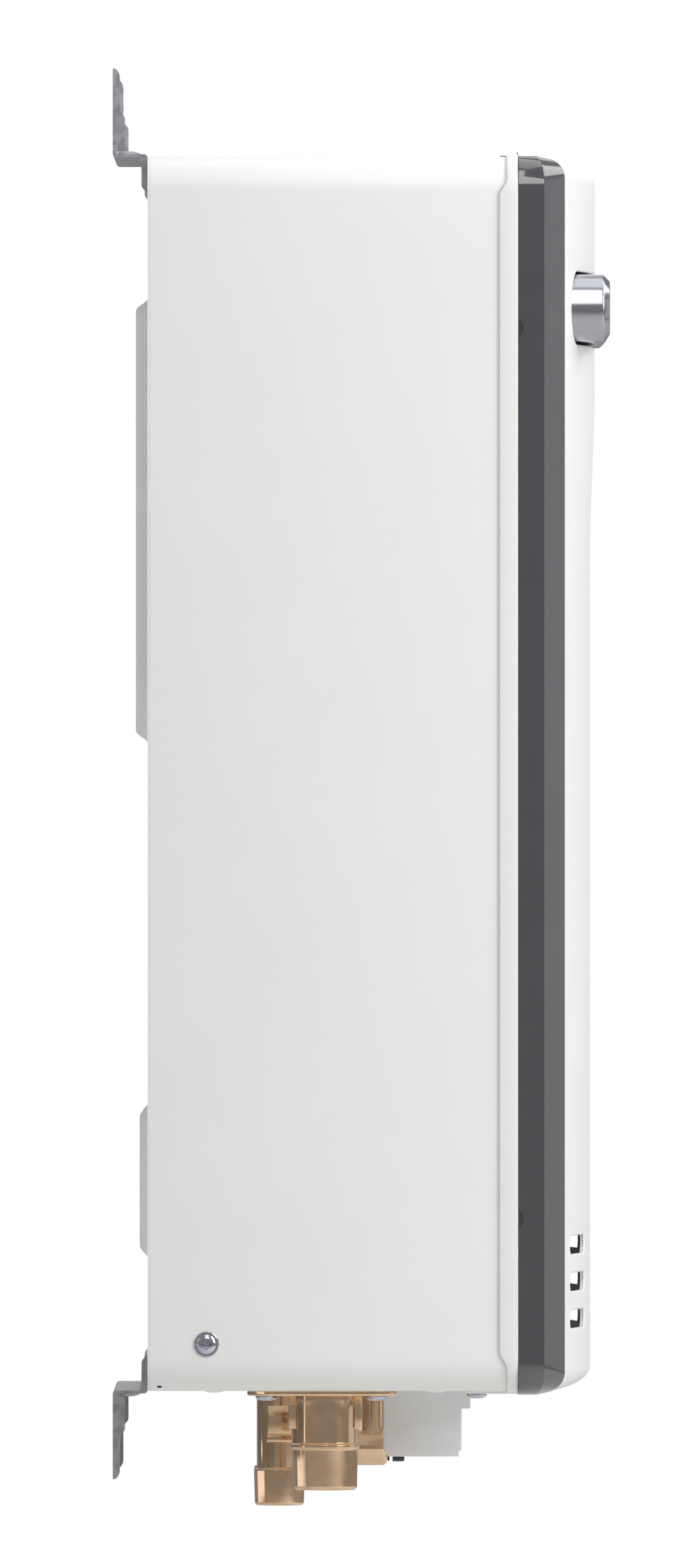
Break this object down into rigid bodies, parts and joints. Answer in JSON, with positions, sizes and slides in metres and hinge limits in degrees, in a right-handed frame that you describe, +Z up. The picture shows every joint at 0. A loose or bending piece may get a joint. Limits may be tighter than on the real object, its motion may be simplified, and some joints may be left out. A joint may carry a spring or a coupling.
{
  "type": "tankless water heater",
  "caption": "Wall hung outdoor gas water heater: white sheet case, domed front with flat exhaust outlet, brass pipe fittings below, and a working set of inner parts.",
  "frame": {"origin": "middle of the upper bracket's wall face, on the wall plane", "axes": "+Z up, +Y into the wall so the front faces -Y, +X to the right of someone who looks at the front"},
  "size_m": [0.361, 0.2709, 0.7871],
  "materials": {
    "white_paint": "satin white baked paint",
    "dark_trim": "glossy dark grey moulding",
    "zinc_sheet": "galvanised steel",
    "stainless": "polished stainless steel",
    "brass": "plain cast and turned brass",
    "copper": "plain copper",
    "cast_aluminium": "die cast",
    "black_plastic": "moulded black",
    "pale_plastic": "translucent pale grey",
    "black_rubber": "soft black",
    "board_green": "coated board",
    "ceramic": "fired off-white"
  },
  "bodies": {
    "heater": {"back_panel": "white_paint", "case_wrap": "white_paint", "side_screw_left": "zinc_sheet", "side_screw_right": "zinc_sheet", "upper_bracket": "zinc_sheet", "lower_bracket": "zinc_sheet", "cover_screw_left": "zinc_sheet", "cover_screw_right": "zinc_sheet", "plate_screw_back": "zinc_sheet", "plate_screw_front": "zinc_sheet", "exhaust_outlet": "stainless", "exhaust_guard": "stainless", "flue_box": "stainless", "burner_box": "stainless", "burner_bars": "stainless", "gas_pipe": "stainless", "heat_exchanger_jacket": "copper", "heat_exchanger_core": "copper", "jacket_coil": "copper", "cold_water_pipe": "copper", "hot_water_pipe": "copper", "bypass_pipe": "copper", "gas_manifold": "brass", "flow_sensor_body": "brass", "water_valve_body": "brass", "cold_water_inlet": "brass", "hot_water_outlet": "brass", "outlet_thermistor": "brass", "gas_inlet_fitting": "brass", "connection_plate": "brass", "gas_valve_body": "cast_aluminium", "blower_housing": "cast_aluminium", "main_valve_coil": "black_plastic", "modulating_coil": "black_plastic", "blower_motor": "black_plastic", "igniter": "black_plastic", "overheat_switch": "black_plastic", "servo_motor": "black_plastic", "terminal_block": "black_plastic", "control_tray": "pale_plastic", "terminal_cover": "pale_plastic", "control_board": "board_green", "ignition_electrode": "ceramic", "flame_rod": "ceramic", "frost_heater": "ceramic"},
    "front_cover": {"cover_skirt": "white_paint", "trim_frame": "dark_trim", "cover_panel": "white_paint", "cover_gasket": "black_rubber"},
    "fan_rotor": {"blower_impeller": "zinc_sheet", "blower_shaft": "zinc_sheet"},
    "flow_turbine": {"flow_turbine": "black_plastic"},
    "water_valve_spindle": {"water_valve_spindle": "brass"},
    "filter_carrier": {"filter_strainer": "zinc_sheet", "filter_o_ring": "black_rubber"},
    "filter_plug": {"filter_plug": "black_plastic"},
    "main_valve_plunger": {"main_valve_plunger": "zinc_sheet"},
    "modulating_plunger": {"modulating_plunger": "zinc_sheet"}
  },
  "joints": [
    {"name": "cover_draw", "type": "slide", "parent": "heater", "child": "front_cover", "axis": [0, -1, 0], "range_m": [0, 0.09]},
    {"name": "fan_spin", "type": "hinge", "parent": "heater", "child": "fan_rotor", "pos_m": [-0.025, -0.0774, -0.511], "axis": [0, 1, 0], "continuous": true},
    {"name": "turbine_spin", "type": "hinge", "parent": "heater", "child": "flow_turbine", "pos_m": [0.04, -0.0904, -0.6663], "axis": [0, 0, 1], "continuous": true},
    {"name": "spindle_turn", "type": "hinge", "parent": "heater", "child": "water_valve_spindle", "pos_m": [0.04, -0.1124, -0.62695], "axis": [0, 1, 0], "range_deg": [0, 90]},
    {"name": "filter_draw", "type": "slide", "parent": "heater", "child": "filter_carrier", "axis": [0, -1, 0], "range_m": [0, 0.006]},
    {"name": "filter_turn", "type": "hinge", "parent": "filter_carrier", "child": "filter_plug", "pos_m": [0.04, -0.1495, -0.73175], "axis": [0, -1, 0], "range_deg": [0, 1440]},
    {"name": "main_valve_lift", "type": "slide", "parent": "heater", "child": "main_valve_plunger", "axis": [0, -1, 0], "range_m": [0, 0.0025], "stiffness_N_per_m": 200},
    {"name": "modulating_lift", "type": "slide", "parent": "heater", "child": "modulating_plunger", "axis": [0, -1, 0], "range_m": [0, 0.0025], "stiffness_N_per_m": 200}
  ],
  "couplings": [
    {"joint": "filter_turn", "follows": "filter_draw", "rad_per_m": 4188.7}
  ]
}
